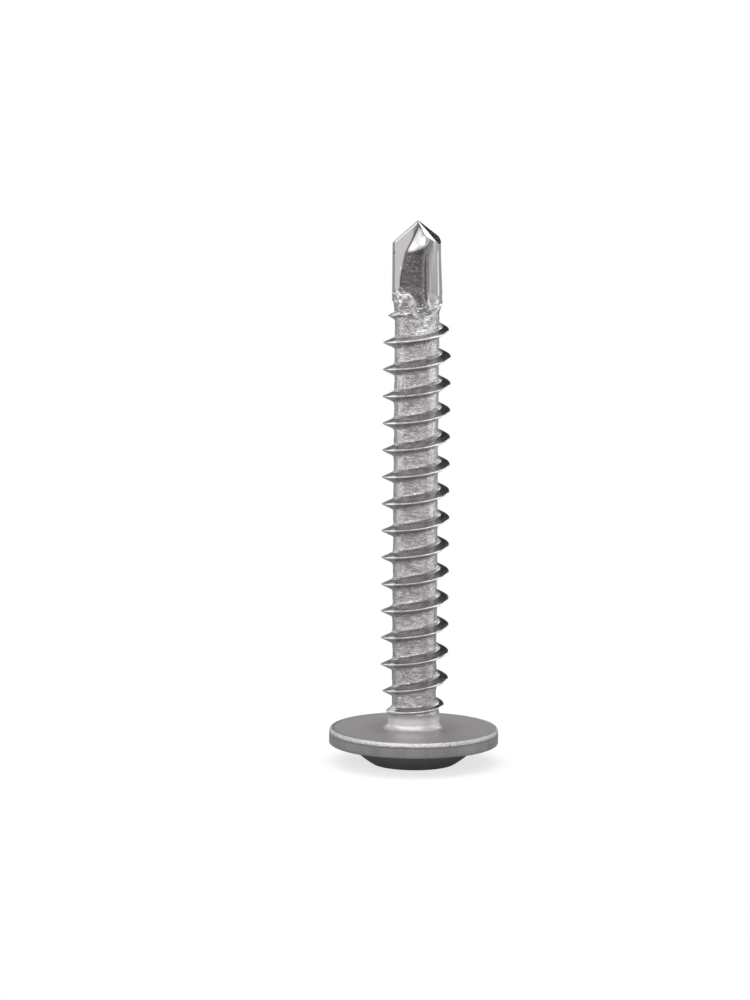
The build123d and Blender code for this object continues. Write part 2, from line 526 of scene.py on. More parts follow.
    def cornered(self, column: Array, above: Array) -> tuple[Array, Array]:
        """Section of the point with its corners on fixed columns.

        Straight runs lead from the lip's corner along the cutting face to its root, over the floor to
        the foot of the wall, up the wall, and over the back; an arc closes on the other lip's corner.

        Args:
            column: Column, from 0 at the left lip's corner, of any whole or broken value.
            above: Height above the underside.

        Returns:
            The points' x and y.
        """
        out, root, foot, back = self.section(above)
        radius = self.land_radius
        reach = radius + self.overrun
        slope = (root / 2) / (reach - out)
        lift = -root - slope * out
        corner_x = (-slope * lift - np.sqrt(radius ** 2 * (1 + slope ** 2) - lift ** 2)) / (1 + slope ** 2)
        corner_y = lift - slope * corner_x
        wall_foot = self.wall - self.wall_lean / 2
        wall_top = self.wall + self.wall_lean / 2
        rise = self.back_run / (reach - wall_top)
        base = -back - rise * wall_top
        inner = np.maximum(radius ** 2 * (1 + rise ** 2) - base ** 2, 1e-4)
        heel_x = (-rise * base + np.sqrt(inner)) / (1 + rise ** 2)
        heel_y = rise * heel_x + base
        other = column >= HALF
        local = column % HALF
        xs = (corner_x, -out, np.full_like(base, wall_foot), np.full_like(base, wall_top), heel_x)
        ys = (corner_y, -root, -foot, -back, heel_y)
        x = np.zeros(np.shape(local))
        y = np.zeros(np.shape(local))
        stops = np.concatenate(((0,), np.cumsum(self.shares)))
        for run in range(len(xs) - 1):
            share = (local - stops[run]) / self.shares[run]
            here = (share >= 0) & (share < 1)
            x = np.where(here, xs[run] + (xs[run + 1] - xs[run]) * share, x)
            y = np.where(here, ys[run] + (ys[run + 1] - ys[run]) * share, y)
        share = (local - stops[-2]) / self.shares[-1]
        first = np.arctan2(heel_y, heel_x)
        last = np.arctan2(corner_y, corner_x) + math.pi
        last = np.where(last > math.pi, last - 2 * math.pi, last)
        turn = first + (last - first) * share
        sign = np.where(other, -1.0, 1.0)
        x = np.where(share >= 0, radius * np.cos(turn), x) * sign
        y = np.where(share >= 0, radius * np.sin(turn), y) * sign
        across, along = in_turned_frame(x, y, -self.lip_turn)
        taper = self.right_taper * ease(above, *self.taper_heights) * ease(across, 0.3, 1.5)
        return across * (1 - taper), along

    def flash_at(self, angle: Array, above: Array) -> tuple[Array, Array]:
        """Torn flash on the front face: bell-shaped ridges along straight strokes.

        Args:
            angle: Angle about the axis.
            above: Height above the underside.

        Returns:
            Height of the flash, and its share between 0 and 1.
        """
        wrap = self.flash_radius
        along = wrap * ((angle + math.pi / 2 + math.pi) % (2 * math.pi) - math.pi)
        lift = np.zeros(np.shape(angle))
        share = np.zeros(np.shape(angle))
        for x0, low, x1, high, half, height in self.flash:
            start = np.array((wrap * math.asin(x0 / wrap), low))
            run = np.array((wrap * math.asin(x1 / wrap), high)) - start
            t = np.clip(((along - start[0]) * run[0] + (above - start[1]) * run[1]) / (run @ run), 0, 1)
            gap = np.hypot(along - start[0] - run[0] * t, above - start[1] - run[1] * t)
            ridge = bell(gap, half)
            lift = np.maximum(lift, height * ridge)
            share = np.maximum(share, ridge)
        return lift, share

    def drop(self, x: Array, y: Array) -> Array:
        """Fall of the clearance facets from the tip: greatest of the four planes.

        Args:
            x: Place.
            y: Place.

        Returns:
            The fall.
        """
        along, ahead = in_turned_frame(x, y, self.lip_turn)
        out = 1 / math.tan(math.radians(self.lip_angle / 2))
        behind = math.tan(math.radians(self.lip_relief))
        heel = math.radians(self.heel_turn)
        falls = []
        for sign, more in itertools.product((1, -1), (0, self.heel_fall)):
            outward = out - more * math.sin(heel)
            falls.append(sign * (outward * along - (behind + more * math.cos(heel)) * ahead))
        return np.maximum.reduce(falls)


@dataclass
class Skin:
    """Closed skin of the whole screw: head, helical rows of the thread, point and clearance facets."""

    head: Head
    shank: Shank

    # Rows from the last circle to the facets, and how many of them below the facets stay smooth
    point_count = 60
    smooth_count = 3
    # Steps of the search for the height at which a column meets its facet
    halvings = 40
    # Rings on the clearance facets, as shares of the way from the tip to their rim
    tip_shares = (0.985, 0.94, 0.86, 0.76, 0.65, 0.54, 0.42, 0.3, 0.19, 0.09)

    def thread_rows(self) -> tuple[Array, Array, Array]:
        """Heights on the helical rows: the first turn opens from a circle and the last closes to one.

        Returns:
            Height above the underside, place along the thread in turns, and distance from the crest,
            each (rows, COLUMNS + 1).
        """
        shank = self.shank
        each = shank.rows_a_turn
        row = np.arange((shank.turns + 1) * each + 1)
        strip = np.minimum(row // each, shank.turns)[:, None]
        step = np.where(row == row[-1], each, row % each)
        offset = np.append(shank.offsets, shank.pitch / 2)[step][:, None]
        around = np.arange(COLUMNS + 1)[None, :] / COLUMNS
        width = np.where(strip == 0, around, np.where(strip == shank.turns, 1 - around, 1.0))
        low = np.where(strip == 0, 0.0, around + strip - 1.0)
        away = offset * width
        above = shank.first_circle + shank.pitch * (low + width / 2) + away
        return above, strip + around + 0 * away, away

    def place(self, column: Array, above: Array, turn: Array, away: Array) -> Array:
        """Places on the shank for columns and heights.

        Args:
            column: Column of the grid.
            above: Height above the underside.
            turn: Place along the thread, in turns.
            away: Distance from the crest.

        Returns:
            Points, last axis 3.
        """
        shank = self.shank
        plain = column * COLUMN + GRID_TURN
        pinned_x, pinned_y = shank.pinned((column - LIP_COLUMN) % COLUMNS, above)
        pinned = np.arctan2(pinned_y, pinned_x)
        pinned = plain + (pinned - plain + math.pi) % (2 * math.pi) - math.pi
        angle = plain + (pinned - plain) * ease(above, shank.morph_low, shank.morph_high)
        radius = np.minimum(shank.body(angle, above, turn, away), shank.pressed(angle, above))
        high = above >= shank.morph_high
        x = np.where(high, pinned_x, radius * np.cos(angle))
        y = np.where(high, pinned_y, radius * np.sin(angle))
        return np.stack((x, y, above + shank.under), -1)

    def roughen(self, points: Array) -> Array:
        """Die marks, dents and torn flash: noise that moves places along the radius, not on lands and crests.

        Args:
            points: Places on the shank.

        Returns:
            The moved places.
        """
        shank = self.shank
        above = points[..., 2] - shank.under
        radius = np.hypot(points[..., 0], points[..., 1])
        off_ridge = 1 - ease(radius, 1.60, 1.85)
        core = between(above, *shank.rolled_heights) * off_ridge
        flute = between(above, *shank.flute_heights) * (1 - ease(radius, 1.0, 1.25))
        torn = between(above, *shank.torn_heights) * off_ridge
        marks = 0.022 * grain(points, 0.34, 11) + 0.018 * grain(points, 0.17, 12)
        dents = -0.035 * ease(grain(points, 0.42, 13), 0.45, 0.85)
        lift, _ = shank.flash_at(np.arctan2(points[..., 1], points[..., 0]), above)
        move = core * (marks + dents) + flute * 0.022 * grain(points, 0.15, 14)
        move = move + lift * (0.8 + 0.6 * grain(points, 0.13, 15)) + torn * 0.035 * grain(points, 0.16, 16)
        scale = (radius + move) / np.maximum(radius, 1e-6)
        return points * np.stack((scale, scale, np.ones_like(scale)), -1)

    def point_rows(self) -> Array:
        """Rows of the point: each column ends at the height where its clearance facet has fallen to it.

        Returns:
            Array (point_count, COLUMNS, 3).
        """
        shank = self.shank
        column = np.arange(COLUMNS)
        start = shank.first_circle + shank.pitch * shank.turns
        low = np.full(COLUMNS, start)
        high = np.full(COLUMNS, shank.length)
        for _ in range(self.halvings):
            half = (low + high) / 2
            x, y = shank.pinned((column - LIP_COLUMN) % COLUMNS, half)
            below = half < shank.length - shank.drop(x, y)
            low = np.where(below, half, low)
            high = np.where(below, high, half)
        share = (np.arange(1, self.point_count + 1) / self.point_count)[:, None]
        share = share * (1.12 - 0.12 * share)
        above = start + (low[None, :] - start) * share
        past_ridge = np.full_like(above, shank.turns + 1)
        far_off = np.full_like(above, 5.0)
        return self.place(column + 0 * above, above, past_ridge, far_off)

    def tip_rows(self, rim: Array) -> Array:
        """Rings on the clearance facets: the point's last ring, shrunk towards the tip."""
        tip = np.array((0, 0, self.shank.tip))
        return np.stack([tip + (rim - tip) * share for share in self.tip_shares])

    def build(self) -> tuple[Array, Array, int]:
        """Whole skin.

        Returns:
            Vertices in millimetres, faces as corner indices with -1 after a triangle's third, and the
            number of plane faces at the end of the list.
        """
        head = self.head.rows()
        above, turn, away = self.thread_rows()
        rows = len(above)
        each = self.shank.rows_a_turn
        column = np.arange(COLUMNS + 1)[None, :] * np.ones((rows, 1))
        thread = self.roughen(self.place(column, above, turn, away))[:, :COLUMNS]
        point = self.point_rows()
        rough = point[:-self.smooth_count]
        rough[:] = self.roughen(rough)
        top = np.concatenate((point, self.tip_rows(point[-1])))
        pole = np.array(((0, 0, self.head.depth + self.head.hollow_depth),))
        apex = np.array(((0, 0, self.shank.tip),))
        vertices = np.concatenate([part.reshape(-1, 3) for part in (pole, head, thread, top, apex)])

        head_index = ring_index(1, len(head))
        thread_index = ring_index(head_index[-1, -2] + 1, rows)
        top_index = ring_index(thread_index[-1, -2] + 1, len(top))
        thread_index[:each + 1, 0] = thread_index[0, 0]
        last = rows - 1
        thread_index[:last - each + 1, COLUMNS] = thread_index[each:, 0]
        thread_index[last - each:, COLUMNS] = thread_index[last, 0]
        quad = quads(np.concatenate((head_index, thread_index, top_index)))
        first = head_index[0]
        final = top_index[-1]
        fill = np.full(COLUMNS, -1)
        fan = np.stack((np.zeros(COLUMNS, int), first[:-1], first[1:], fill), 1)
        close = np.stack((final[:-1], final[1:], np.full(COLUMNS, len(vertices) - 1), fill), 1)
        return vertices, np.concatenate((fan, quad, close)), (len(self.tip_shares) + 1) * COLUMNS


def add_object(name: str, data: bpy.types.ID) -> bpy.types.Object:
    """Object of a mesh or a camera, linked to the scene.

    Args:
        name: Its name.
        data: The mesh or the camera.

    Returns:
        The object.
    """
    made = bpy.data.objects.new(name, data)
    bpy.context.scene.collection.objects.link(made)
    return made


def write_mesh(name: str, vertices: Array, faces: Array, plane: int) -> bpy.types.Object:
    """Mesh object from millimetre vertices and quads, some of them triangles; repeated corners are dropped.

    Args:
        name: Name of the piece.
        vertices: Places in millimetres.
        faces: Corner indices, -1 after a triangle's third.
        plane: Number of faces at the end of the list that are shaded flat.

    Returns:
        The object, linked to the scene.
    """
    after = np.roll(faces, -1, axis=1)
    keep = (faces >= 0) & (faces != after)
    keep[:, 2] |= faces[:, 3] < 0
    keep[:, 3] &= faces[:, 3] != faces[:, 0]
    good = keep.sum(1) >= 3
    smooth = (np.arange(len(faces)) < len(faces) - plane)[good]
    faces, keep = faces[good], keep[good]
    loops = faces[keep]
    sizes = keep.sum(1)
    used, loops = np.unique(loops, return_inverse=True)
    vertices = vertices[used]
    mesh = bpy.data.meshes.new(name)
    mesh.vertices.add(len(vertices))
    mesh.vertices.foreach_set("co", (vertices * MM).astype(np.float32).ravel())
    mesh.loops.add(len(loops))
    mesh.loops.foreach_set("vertex_index", loops.astype(np.int32).ravel())
    mesh.polygons.add(len(sizes))
    starts = np.concatenate(((0,), np.cumsum(sizes)[:-1]))
    mesh.polygons.foreach_set("loop_start", starts.astype(np.int32))
    mesh.update(calc_edges=True)
    mesh.validate()
    mesh.shade_smooth()
    mesh.set_sharp_from_angle(angle=math.radians(34))
    mesh.polygons.foreach_set("use_smooth", smooth)
    return add_object(name, mesh)


# Materials

class Socket:
    """Output of a shader node, on which + - * / and named operations add Math nodes."""

    def __init__(self, tree: Tree, output: Any) -> None:
        """Keep the tree and the output that the value comes from."""
        self.tree = tree
        self.output = output

    def math(self, operation: str, *others: Any) -> "Socket":
        """Math node on this value and others, by the operation's name."""
        return calculate(self.tree, operation, self, *others)

    def __add__(self, other: Any) -> "Socket":
        """Sum."""
        return self.math("ADD", other)

    def __sub__(self, other: Any) -> "Socket":
        """Difference."""
        return self.math("SUBTRACT", other)

    def __rsub__(self, other: Any) -> "Socket":
        """Difference from a number."""
        return calculate(self.tree, "SUBTRACT", other, self)

    def __truediv__(self, other: Any) -> "Socket":
        """Quotient."""
        return self.math("DIVIDE", other)

    def __mul__(self, other: Any) -> "Socket":
        """Product."""
        return self.math("MULTIPLY", other)

    __radd__ = __add__
    __rmul__ = __mul__

    def step(self, low: float, high: float) -> "Socket":
        """Smooth step from 0 at low to 1 at high, or from 1 to 0 where low is the larger.

        Args:
            low: Value at which the step is 0.
            high: Value at which the step is 1.

        Returns:
            The step's value.
        """
        ends = (1.0, 0.0) if low > high else (0.0, 1.0)
        values = {"Value": self, "From Min": min(low, high), "From Max": max(low, high),
                  "To Min": ends[0], "To Max": ends[1]}
        made = add_node(self.tree, "ShaderNodeMapRange", {"interpolation_type": "SMOOTHSTEP"}, values)
        return Socket(self.tree, made.outputs["Result"])


def add_node(tree: Tree, kind: str, settings: dict[str, Any], values: dict[Any, Any]) -> bpy.types.Node:
    """Add a node, make its settings, then fill or link its inputs.

    Args:
        tree: Node tree of a material or the world.
        kind: Node type.
        settings: Properties by name, set first.
        values: Inputs by name or number: a number, a colour, a Socket or a node's output.

    Returns:
        The node.
    """
    made = tree.nodes.new(kind)
    for name, value in settings.items():
        setattr(made, name, value)
    for name, value in values.items():
        if isinstance(value, Socket):
            tree.links.new(value.output, made.inputs[name])
        elif isinstance(value, bpy.types.NodeSocket):
            tree.links.new(value, made.inputs[name])
        else:
            made.inputs[name].default_value = value
    return made


def cleared_tree(owner: bpy.types.Material | bpy.types.World) -> Tree:
    """Node tree of a material or the world, emptied.

    Args:
        owner: The material or the world.

    Returns:
        The tree.
    """
    owner.use_nodes = True
    owner.node_tree.nodes.clear()
    return owner.node_tree


def calculate(tree: Tree, operation: str, *values: Any) -> Socket:
    """Math node's value, from its operation and its numbers or sockets."""
    made = add_node(tree, "ShaderNodeMath", {"operation": operation}, dict(enumerate(values)))
    return Socket(tree, made.outputs[0])


def coordinates(tree: Tree, kind: str) -> tuple[bpy.types.NodeSocket, Socket, Socket, Socket]:
    """Texture coordinates of a kind: the vector and its three components.

    Args:
        tree: Node tree of a material or the world.
        kind: Name of the coordinates' output.

    Returns:
        The vector, then x, y and z.
    """
    where = add_node(tree, "ShaderNodeTexCoord", {}, {}).outputs[kind]
    parts = add_node(tree, "ShaderNodeSeparateXYZ", {}, {"Vector": where})
    return where, *(Socket(tree, output) for output in parts.outputs)


def paint(tree: Tree, name: str) -> Socket:
    """Value of one of the skin's paints."""
    return Socket(tree, add_node(tree, "ShaderNodeAttribute", {"attribute_name": name}, {}).outputs["Fac"])


def scaled(tree: Tree, vector: Any, factors: Direction) -> bpy.types.NodeSocket:
    """Vector with each component multiplied by its own factor."""
    settings = {"operation": "MULTIPLY"}
    return add_node(tree, "ShaderNodeVectorMath", settings, {0: vector, 1: factors}).outputs[0]


def noise(tree: Tree, vector: Any, scale: float, detail: float) -> Socket:
    """Noise texture's value, around 0.5, with scale in waves a metre and detail in octaves."""
    values = {"Vector": vector, "Scale": scale, "Detail": detail, "Roughness": 0.6}
    return Socket(tree, add_node(tree, "ShaderNodeTexNoise", {}, values).outputs["Fac"])


def mix_colour(tree: Tree, factor: Any, first: Any, second: Any) -> Socket:
    """Mix of two colours or sockets, with factor as the share of the second."""
    made = add_node(tree, "ShaderNodeMix", {"data_type": "RGBA"}, {"Factor": factor, 6: first, 7: second})
    return Socket(tree, made.outputs[2])


class SteelPlaces:
    """Masks, paints and noises of the skin, read at Object coordinates in metres."""

    def __init__(self, tree: Tree) -> None:
        """Read the coordinates and the paints, and work out the masks and noises from them.

        Args:
            tree: Node tree of the material.
        """
        self.tree = tree
        where, self.x, self.y, self.z = coordinates(tree, "Object")
        radius = (self.x * self.x + self.y * self.y).math("SQRT")
        # Paints: painted shade on the flute floor and torn end, painted shade lines, painted highlights,
        # painted shade on the flanks
        self.floor, self.crease, self.light, self.shade = (paint(tree, name) for name in PAINTS)
        z = self.z

        # Rolled stretch, the flanks of its ridge, and its torn end
        shank = z.step(0.0031, 0.0037)
        self.below_point = z.step(0.0294, 0.0288)
        self.rolled = shank * self.below_point * radius.step(0.00164, 0.00148)
        self.torn = z.step(0.0262, 0.0270) * self.below_point
        flank = shank * self.below_point * (1 - self.light) - self.rolled * 0.3

        # Head, neck and ground tip
        self.on_head = z.step(0.0024, 0.0022)
        self.seat = z.step(0.00218, 0.00221) * self.on_head * radius.step(0.00505, 0.0049)
        self.near_neck = z.step(0.00218, 0.00221) * radius.step(0.0036, 0.0023) * z.step(0.00232, 0.00228)
        self.neck = z.step(0.00221, 0.00226) * z.step(0.0034, 0.0030)
        self.rim_edge = z.step(0.00185, 0.00200) * z.step(0.00225, 0.00221) * radius.step(0.0050, 0.0051)
        self.rim_band = radius.step(0.0050, 0.0052) * z.step(0.00200, 0.00180)
        self.ground = z.step(0.0320, 0.0325)

        # Noises: die marks flattened along the axis, sheared rim, its streaks, turning rings, fine grain
        flattened = scaled(tree, where, (1.0, 1.0, 2.6))
        drawn = scaled(tree, where, (1.0, 1.0, 0.25))
        ring_place = add_node(tree, "ShaderNodeCombineXYZ", {}, {"X": radius})
        self.coarse = noise(tree, flattened, 2600.0, 3.0)
        self.fine = noise(tree, flattened, 7000.0, 2.0)
        self.sheared = noise(tree, where, 5200.0, 3.0)
        self.streaks = noise(tree, drawn, 1100.0, 3.0)
        self.rings = noise(tree, ring_place.outputs[0], 5200.0, 3.0)
        self.grains = noise(tree, where, 22000.0, 1.0)
        self.mottled = flank * self.coarse.step(0.42, 0.56)
        # Bright specks: painted glints on the rolled core, the flute floor and the torn end, where the
        # roughness is lower too
        torn_specks = self.rolled * self.torn * self.fine.step(0.53, 0.62)
        self.specks = (self.rolled + self.floor * 0.3) * self.fine.step(0.58, 0.66) + torn_specks * 0.6


@dataclass(frozen=True)
class RolledSteel:
    """Bright stainless steel with die marks on the shank and turning rings on the head."""

    shank: Shank
    plain: Colour = (0.61, 0.587, 0.592, 1.0)
    # Colour of the painted highlights and painted glints
    bright: Colour = (0.98, 0.975, 0.975, 1.0)
    # Colour of the mottled, torn and streaked metal, and of the painted shade by the neck
    dull_and_shade: Colour = (0.27, 0.25, 0.26, 1.0)
    # Colour of the painted shade on the rough flute floor, the torn end and the thread's flanks
    shade_tone: Colour = (0.11, 0.10, 0.105, 1.0)
    # Colour of the painted shade lines in the creases and along the lips
    line: Colour = (0.03, 0.028, 0.03, 1.0)
    roughness: float = 0.19
    bump_height: float = 0.00003
    bump_strength: float = 0.7

    def worn(self, at: SteelPlaces) -> Socket:
        """Share of darker, duller metal: mottling on flanks and core, the torn end, and streaks on the rim
        band.

        Args:
            at: Places of the steel.

        Returns:
            The share.
        """
        rolled_marks = at.mottled * 0.20 + at.rolled * at.mottled * 0.40
        torn_marks = at.torn * at.fine.step(0.50, 0.36) * 0.7
        streaked = at.rim_band * (0.06 + 0.34 * at.streaks.step(0.30, 0.75))
        return (rolled_marks + torn_marks + streaked).math("MINIMUM", 1.0)

    def lip_edges(self, at: SteelPlaces) -> tuple[Socket, Socket]:
        """Painted highlight band and a painted shade line along the cutting lips, by the distance under the
        lip's line.

        Args:
            at: Places of the steel.

        Returns:
            Shares of the painted highlight band and of the painted shade line.
        """
        along, ahead = in_turned_frame(at.x, at.y, self.shank.lip_turn)
        lip_slope = math.tan(math.radians(self.shank.lip_angle / 2))
        under = (self.shank.tip * MM - at.z) - along.math("ABSOLUTE") / lip_slope
        facing = (along * ahead * 1e6).step(0.0, 0.01) * at.z.step(0.0310, 0.0312)
        return facing * under.step(0.00017, 0.00012), under.step(0.000045, 0.00003) * facing

    def colour(self, at: SteelPlaces) -> Socket:
        """Base colour: plain steel, then darker metal and painted shade, painted highlights, and the painted
        shade lines of the point.

        Args:
            at: Places of the steel.

        Returns:
            The colour.
        """
        tree = at.tree
        lip_highlight, outline = self.lip_edges(at)
        # Painted shade on the rough flute floor and the torn end, and on the flank of each turn towards the
        # head
        painted_shade = (at.floor * 0.90).math("MAXIMUM", at.shade * 0.55)
        # Painted highlights: painted glints as bright specks, the light paint, and the rim's edge
        painted_highlight = (at.specks * 0.8 + at.light + at.rim_edge * 0.35).math("MINIMUM", 1.0)
        # Painted shade lines: the root creases, the chip's hollow, the nick, and along the lips
        lined = (at.crease + outline * 0.6).math("MINIMUM", 1.0) * 0.93
        colour = mix_colour(tree, self.worn(at), self.plain, self.dull_and_shade)
        # Painted shade in the corner of the underside by the neck, and the whole underside a little darker
        colour = mix_colour(tree, at.near_neck * 0.2 + at.seat * 0.04, colour, self.dull_and_shade)
        colour = mix_colour(tree, painted_shade, colour, self.shade_tone)
        colour = mix_colour(tree, painted_highlight, colour, self.bright)
        # Painted highlight band along the cutting lips
        colour = mix_colour(tree, lip_highlight, colour, self.bright)
        return mix_colour(tree, lined, colour, self.line)

    def relief(self, at: SteelPlaces) -> Socket:
        """Height for the bump: turning rings, die marks, the torn end, the sheared rim and fine grain.

        Args:
            at: Places of the steel.

        Returns:
            The height, in bump heights.
        """
        turned = at.on_head * at.rings * 0.35 + at.seat * at.rings * 0.5
        marks = (at.rolled + at.floor) * (at.coarse * 1.6 + at.fine * 1.1) + at.rolled * at.torn * at.fine
        return turned + marks + at.rim_edge * at.sheared * 5.0 + at.grains * (at.below_point * 0.25)

    def rough(self, at: SteelPlaces) -> Socket:
        """Roughness: more on rolled metal, floor, head, seat and neck, less on specks and the ground tip.

        Args:
            at: Places of the steel.

        Returns:
            The roughness.
        """
        worked = at.rolled * 0.06 + at.floor * 0.16 + at.coarse * 0.06
        headed = at.on_head * 0.08 + at.seat * 0.13 + at.neck * 0.22
        return self.roughness + worked + headed - at.specks * 0.1 - at.ground * 0.06

    def material(self) -> bpy.types.Material:
        """Material that reads object coordinates and the paints on the skin.

        Returns:
            The material.
        """
        made = bpy.data.materials.new("rolled_stainless_steel")
        tree = cleared_tree(made)
        at = SteelPlaces(tree)
        values = {"Strength": self.bump_strength, "Distance": self.bump_height, "Height": self.relief(at)}
        bump = add_node(tree, "ShaderNodeBump", {}, values)
        values = {"Base Color": self.colour(at), "Metallic": 1.0, "Roughness": self.rough(at),
                  "Normal": bump.outputs["Normal"]}
        shader = add_node(tree, "ShaderNodeBsdfPrincipled", {}, values)
        add_node(tree, "ShaderNodeOutputMaterial", {}, {"Surface": shader.outputs["BSDF"]})
        return made


class SkinPaints:
    """Paints that the steel reads: painted shade on the rough flute floor, painted shade in creases, painted
    highlights and painted shade on the flanks.
    """

    # Windows of height above the underside: start, full, fade and end
    ridge_heights = (0.2, 0.4, 26.9, 27.2)
    neck_heights = (0.05, 0.3, 0.6, 1.0)
    tongue_heights = (25.9, 26.6, 27.8, 28.0)
    ledge_heights = (27.0, 27.2, 27.75, 27.85)
    # Painted chip in the left land: front x and height of its painted highlight edge, of its painted shade
    # hollow and of a painted shade nick above it
    chip_edge = (-0.99, 29.08)
    chip_hollow = (-0.87, 28.96)
    nick = (-1.45, 30.05)

    def __init__(self, piece: bpy.types.Object, shank: Shank) -> None:
        """Read the places of the finished skin.

        Args:
            piece: The skin.
            shank: Sizes of its shank.
        """
        self.piece = piece
        self.shank = shank
        read = np.empty(len(piece.data.vertices) * 3, np.float32)
        piece.data.vertices.foreach_get("co", read)
        self.places = read.reshape(-1, 3) / MM
        self.x, self.y, z = self.places.T
        self.above = z - shank.under
        self.down = shank.length - self.above
        self.radius = np.hypot(self.x, self.y)
        self.angle = np.arctan2(self.y, self.x)
        self.front = self.y < 0

    def spot(self, middle: tuple[float, float], size: float) -> Array:
        """Round spot: bell curve of the distance to a front x and height."""
        return bell(np.hypot(self.x - middle[0], self.above - middle[1]), size)

    def from_crest(self) -> Array:
        """Height above the nearest crest of the thread, whose first turn opens from a circle.

        Returns:
            The height, below 0 on the side towards the head.
        """
        around = (self.angle / (2 * math.pi) - GRID_TURN / (2 * math.pi)) % 1
        rise = (self.above - self.shank.first_circle) / self.shank.pitch
        strip = rise - around + 0.5
        later = strip - np.maximum(np.round(strip), 1)
        first = rise - around / 2
        return np.where(np.abs(later) < np.abs(first), later, first) * self.shank.pitch

    def thread(self) -> tuple[Array, Array]:
        """Painted highlights on the crest, the flash and the neck, and painted shade on the flank towards the
        head.

        Returns:
            Shares of painted highlight and of painted shade.
        """
        away = self.from_crest()
        on_ridge = ease(self.radius, 1.50, 1.75) * between(self.above, *self.ridge_heights)
        crest = bell(away, 0.05) * on_ridge * (0.98 + 0.9 * grain(self.places, 0.22, 21))
        shade = on_ridge * between(-away, 0.04, 0.12, 0.40, 0.50)
        _, flash = self.shank.flash_at(self.angle, self.above)
        torn = 0.80 * flash * self.front * ease(self.above, 24.9, 25.2)
        neck = 0.55 * between(self.above, *self.neck_heights) * (1 - ease(self.radius, 1.66, 1.8))
        return np.maximum(np.maximum(crest, torn), neck), shade

    def torn_end(self, light: Array) -> Array:
        """Painted shade at the torn end of the front: a tongue below the flute and a patchy ledge at its
        left.

        Args:
            light: Share of painted highlight, which stays clear.

        Returns:
            The share of painted shade.
        """
        tongue = bell(self.x - 0.28, 0.42) * between(self.above, *self.tongue_heights)
        ledge = bell(self.x + 0.75, 0.5) * between(self.above, *self.ledge_heights)
        ledge = ledge * np.clip(0.55 + 0.9 * grain(self.places, 0.17, 22), 0, 1)
        return self.front * np.maximum(0.75 * tongue * (1 - light), 0.6 * ledge)

    def flute(self, turned: float) -> tuple[Array, Array, Array]:
        """One flute: painted shade on its rough floor, a painted shade line at the cutting face's root, and a
        painted highlight patch above.

        Args:
            turned: Turn of its lip.

        Returns:
            Shares of floor, crease and patch.
        """
        out, root, _, _ = self.shank.section(self.above)
        along, ahead = in_turned_frame(self.x, self.y, turned)
        to_root = np.hypot(along + out, ahead + root)
        crease = bell(to_root, 0.075) * ease(self.above, 27.78, 27.95) * ease(self.down, 0.35, 0.6)
        inside = (ahead < 0) * ease(along, -out - 0.02, -out + 0.08)
        inside = inside * (1 - 0.25 * ease(along, -0.1, 0.08)) * (1 - ease(along, 0.55, 0.75))
        deep = 1 - ease(np.hypot(along, ahead), 1.25, 1.4)
        lower = self.down + 0.75 * np.maximum(along + 0.75, 0) ** 2
        floor = inside * deep * ease(self.above, 26.2, 26.9) * ease(lower, 1.80, 2.0)
        return floor, crease, inside * (1 - ease(lower, 1.60, 1.90)) * ease(self.down, 0.4, 0.7)

    def write(self) -> None:
        """Work the paints out and keep them on the skin as attributes."""
        light, shade = self.thread()
        floor = self.torn_end(light)
        # Painted highlight on the chip's edge, painted shade in its hollow and at the nick above it
        light = np.maximum(light, self.spot(self.chip_edge, 0.09) * self.front)
        hollow = 0.8 * self.front * self.spot(self.chip_hollow, 0.07)
        crease = np.maximum(0.9 * self.spot(self.nick, 0.06), hollow)
        for turned in self.shank.lips:
            flute_floor, root_line, patch = self.flute(turned)
            floor = np.maximum(floor, flute_floor)
            crease = np.maximum(crease, root_line)
            light = np.maximum(light, patch)
        floor = floor * ease(self.down - self.shank.drop(self.x, self.y), 0.02, 0.08)
        for name, values in zip(PAINTS, (floor, crease, light, shade)):
            attribute = self.piece.data.attributes.new(name, "FLOAT", "POINT")
            attribute.data.foreach_set("value", values.astype(np.float32))


# Studio

@dataclass(frozen=True)
class SoftPatch:
    """Round soft patch of the surroundings: direction of its middle, cosines of its edge and full part."""

    towards: Direction
    edge: float
    full: float
    strength: float

    def level(self, tree: Tree, where: Any) -> Socket:
        """Its strength times a step on the cosine to its middle.

        Args:
            tree: Node tree of the world.
            where: Direction of the ray.

        Returns:
            Its light at that direction.
        """
        values = {0: where, 1: Vector(self.towards).normalized()}
        made = add_node(tree, "ShaderNodeVectorMath", {"operation": "DOT_PRODUCT"}, values)
        return Socket(tree, made.outputs["Value"]).step(self.edge, self.full) * self.strength


